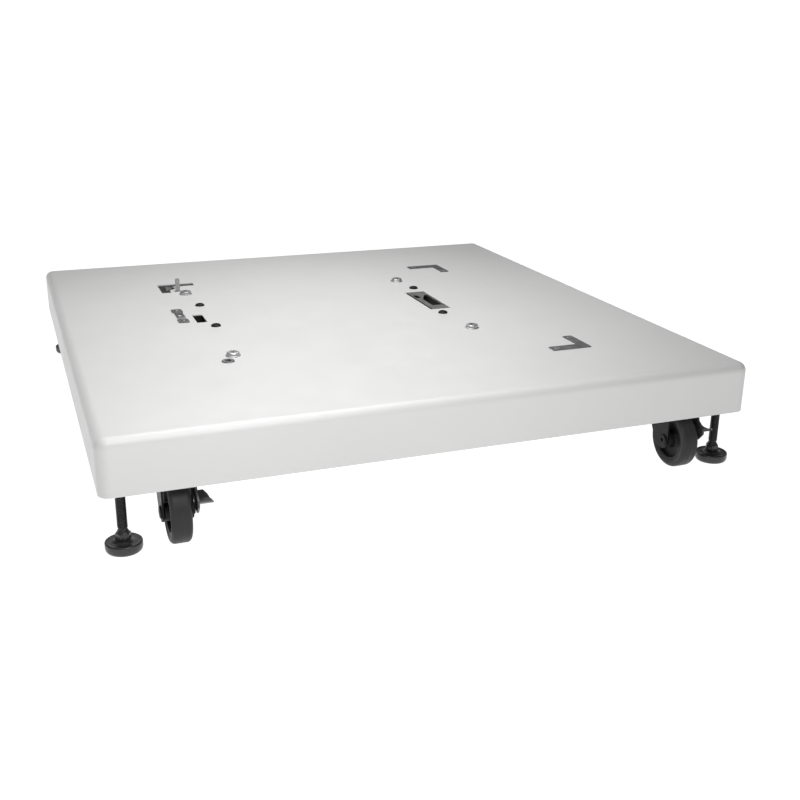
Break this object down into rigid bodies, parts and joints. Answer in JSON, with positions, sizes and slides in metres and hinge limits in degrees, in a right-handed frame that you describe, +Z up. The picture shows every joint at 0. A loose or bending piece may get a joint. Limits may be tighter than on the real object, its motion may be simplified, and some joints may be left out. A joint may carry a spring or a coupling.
{
  "type": "mobile printer stand",
  "caption": "Low steel tray stand for a floor-standing printer, on swivel casters with side brakes and screw-down levelling feet, with locating studs, a sliding latch and corner locators.",
  "frame": {"origin": "on the floor, under the middle of the tray", "axes": "+X to the right along the tray's front edge, +Y from the front to the back, +Z up"},
  "size_m": [0.71, 0.7433, 0.14],
  "materials": {
    "white_powder_coat": "satin",
    "black_steel": "semi-gloss",
    "dark_plate": "satin",
    "plated_steel": "satin",
    "galvanised_steel": "satin",
    "bright_steel": "bright zinc",
    "tyre_rubber": "semi-matte",
    "black_nylon": "satin"
  },
  "bodies": {
    "chassis": {"backing_screws": "black_steel", "bolt_nuts": "bright_steel", "caster_bolts": "bright_steel", "caster_plate_front_left": "black_steel", "caster_plate_front_right": "black_steel", "caster_plate_rear_left": "black_steel", "caster_plate_rear_right": "black_steel", "clip_rivets": "galvanised_steel", "corner_bracket_front_left": "white_powder_coat", "corner_bracket_front_right": "white_powder_coat", "corner_bracket_rear_left": "white_powder_coat", "corner_bracket_rear_right": "white_powder_coat", "corner_locator_front_right": "galvanised_steel", "corner_locator_rear_left": "dark_plate", "corner_locator_rear_right": "galvanised_steel", "end_channel_front": "white_powder_coat", "end_channel_rear": "white_powder_coat", "foot_nuts": "black_steel", "hook_keeper": "dark_plate", "keeper_lug": "plated_steel", "kingpins": "bright_steel", "latch_pan": "dark_plate", "locating_studs": "bright_steel", "locator_nuts": "bright_steel", "locator_pad": "plated_steel", "side_channel_left": "white_powder_coat", "side_channel_right": "white_powder_coat", "spring_clip": "galvanised_steel", "swivel_balls": "bright_steel", "threaded_insert": "dark_plate", "top_tray": "white_powder_coat"},
    "latch_slide": {"latch_slide": "plated_steel"},
    "swivel_front_left": {"fork_front_left": "black_steel", "axle_front_left": "black_steel", "brake_pivot_front_left": "black_steel"},
    "wheel_front_left": {"wheel_core_front_left": "black_nylon", "tyre_front_left": "tyre_rubber"},
    "brake_front_left": {"brake_lever_front_left": "black_steel"},
    "pad_front_left": {"foot_pad_front_left": "black_nylon"},
    "stem_front_left": {"foot_stem_front_left": "black_steel"},
    "swivel_front_right": {"fork_front_right": "black_steel", "axle_front_right": "black_steel", "brake_pivot_front_right": "black_steel"},
    "wheel_front_right": {"wheel_core_front_right": "black_nylon", "tyre_front_right": "tyre_rubber"},
    "brake_front_right": {"brake_lever_front_right": "black_steel"},
    "pad_front_right": {"foot_pad_front_right": "black_nylon"},
    "stem_front_right": {"foot_stem_front_right": "black_steel"},
    "swivel_rear_left": {"fork_rear_left": "black_steel", "axle_rear_left": "black_steel"},
    "wheel_rear_left": {"wheel_core_rear_left": "black_nylon", "tyre_rear_left": "tyre_rubber"},
    "pad_rear_left": {"foot_pad_rear_left": "black_nylon"},
    "stem_rear_left": {"foot_stem_rear_left": "black_steel"},
    "swivel_rear_right": {"fork_rear_right": "black_steel", "axle_rear_right": "black_steel"},
    "wheel_rear_right": {"wheel_core_rear_right": "black_nylon", "tyre_rear_right": "tyre_rubber"},
    "pad_rear_right": {"foot_pad_rear_right": "black_nylon"},
    "stem_rear_right": {"foot_stem_rear_right": "black_steel"}
  },
  "joints": [
    {"name": "latch_travel", "type": "slide", "parent": "chassis", "child": "latch_slide", "axis": [0, -1, 0], "range_m": [0, 0.002]},
    {"name": "swivel_turn_front_left", "type": "hinge", "parent": "chassis", "child": "swivel_front_left", "pos_m": [-0.282, -0.3228, 0.075], "axis": [0, 0, 1], "range_deg": [-25, 240]},
    {"name": "wheel_spin_front_left", "type": "hinge", "parent": "swivel_front_left", "child": "wheel_front_left", "pos_m": [-0.282, -0.3428, 0.0328], "axis": [1, 0, 0], "continuous": true},
    {"name": "brake_tilt_front_left", "type": "hinge", "parent": "swivel_front_left", "child": "brake_front_left", "pos_m": [-0.2654, -0.3363, 0.053], "axis": [1, 0, 0], "range_deg": [0, 8]},
    {"name": "foot_lift_front_left", "type": "slide", "parent": "chassis", "child": "pad_front_left", "axis": [0, 0, 1], "range_m": [-0.012, 0.01]},
    {"name": "foot_turn_front_left", "type": "hinge", "parent": "pad_front_left", "child": "stem_front_left", "pos_m": [-0.334, -0.344, 0.05], "axis": [0, 0, 1], "range_deg": [-2880, 2400]},
    {"name": "swivel_turn_front_right", "type": "hinge", "parent": "chassis", "child": "swivel_front_right", "pos_m": [0.282, -0.3228, 0.075], "axis": [0, 0, 1], "range_deg": [-250, 20]},
    {"name": "wheel_spin_front_right", "type": "hinge", "parent": "swivel_front_right", "child": "wheel_front_right", "pos_m": [0.282, -0.3428, 0.0328], "axis": [1, 0, 0], "continuous": true},
    {"name": "brake_tilt_front_right", "type": "hinge", "parent": "swivel_front_right", "child": "brake_front_right", "pos_m": [0.2986, -0.3363, 0.053], "axis": [1, 0, 0], "range_deg": [0, 8]},
    {"name": "foot_lift_front_right", "type": "slide", "parent": "chassis", "child": "pad_front_right", "axis": [0, 0, 1], "range_m": [-0.012, 0.01]},
    {"name": "foot_turn_front_right", "type": "hinge", "parent": "pad_front_right", "child": "stem_front_right", "pos_m": [0.334, -0.344, 0.05], "axis": [0, 0, 1], "range_deg": [-2880, 2400]},
    {"name": "swivel_turn_rear_left", "type": "hinge", "parent": "chassis", "child": "swivel_rear_left", "pos_m": [-0.282, 0.3228, 0.075], "axis": [0, 0, 1], "range_deg": [-78, 207]},
    {"name": "wheel_spin_rear_left", "type": "hinge", "parent": "swivel_rear_left", "child": "wheel_rear_left", "pos_m": [-0.282, 0.3028, 0.0328], "axis": [1, 0, 0], "continuous": true},
    {"name": "foot_lift_rear_left", "type": "slide", "parent": "chassis", "child": "pad_rear_left", "axis": [0, 0, 1], "range_m": [-0.012, 0.01]},
    {"name": "foot_turn_rear_left", "type": "hinge", "parent": "pad_rear_left", "child": "stem_rear_left", "pos_m": [-0.334, 0.344, 0.05], "axis": [0, 0, 1], "range_deg": [-2880, 2400]},
    {"name": "swivel_turn_rear_right", "type": "hinge", "parent": "chassis", "child": "swivel_rear_right", "pos_m": [0.282, 0.3228, 0.075], "axis": [0, 0, 1], "range_deg": [-207, 78]},
    {"name": "wheel_spin_rear_right", "type": "hinge", "parent": "swivel_rear_right", "child": "wheel_rear_right", "pos_m": [0.282, 0.3028, 0.0328], "axis": [1, 0, 0], "continuous": true},
    {"name": "foot_lift_rear_right", "type": "slide", "parent": "chassis", "child": "pad_rear_right", "axis": [0, 0, 1], "range_m": [-0.012, 0.01]},
    {"name": "foot_turn_rear_right", "type": "hinge", "parent": "pad_rear_right", "child": "stem_rear_right", "pos_m": [0.334, 0.344, 0.05], "axis": [0, 0, 1], "range_deg": [-2880, 2400]}
  ],
  "couplings": [
    {"joint": "foot_turn_front_left", "follows": "foot_lift_front_left", "rad_per_m": 4188.8},
    {"joint": "foot_turn_front_right", "follows": "foot_lift_front_right", "rad_per_m": 4188.8},
    {"joint": "foot_turn_rear_left", "follows": "foot_lift_rear_left", "rad_per_m": 4188.8},
    {"joint": "foot_turn_rear_right", "follows": "foot_lift_rear_right", "rad_per_m": 4188.8}
  ]
}
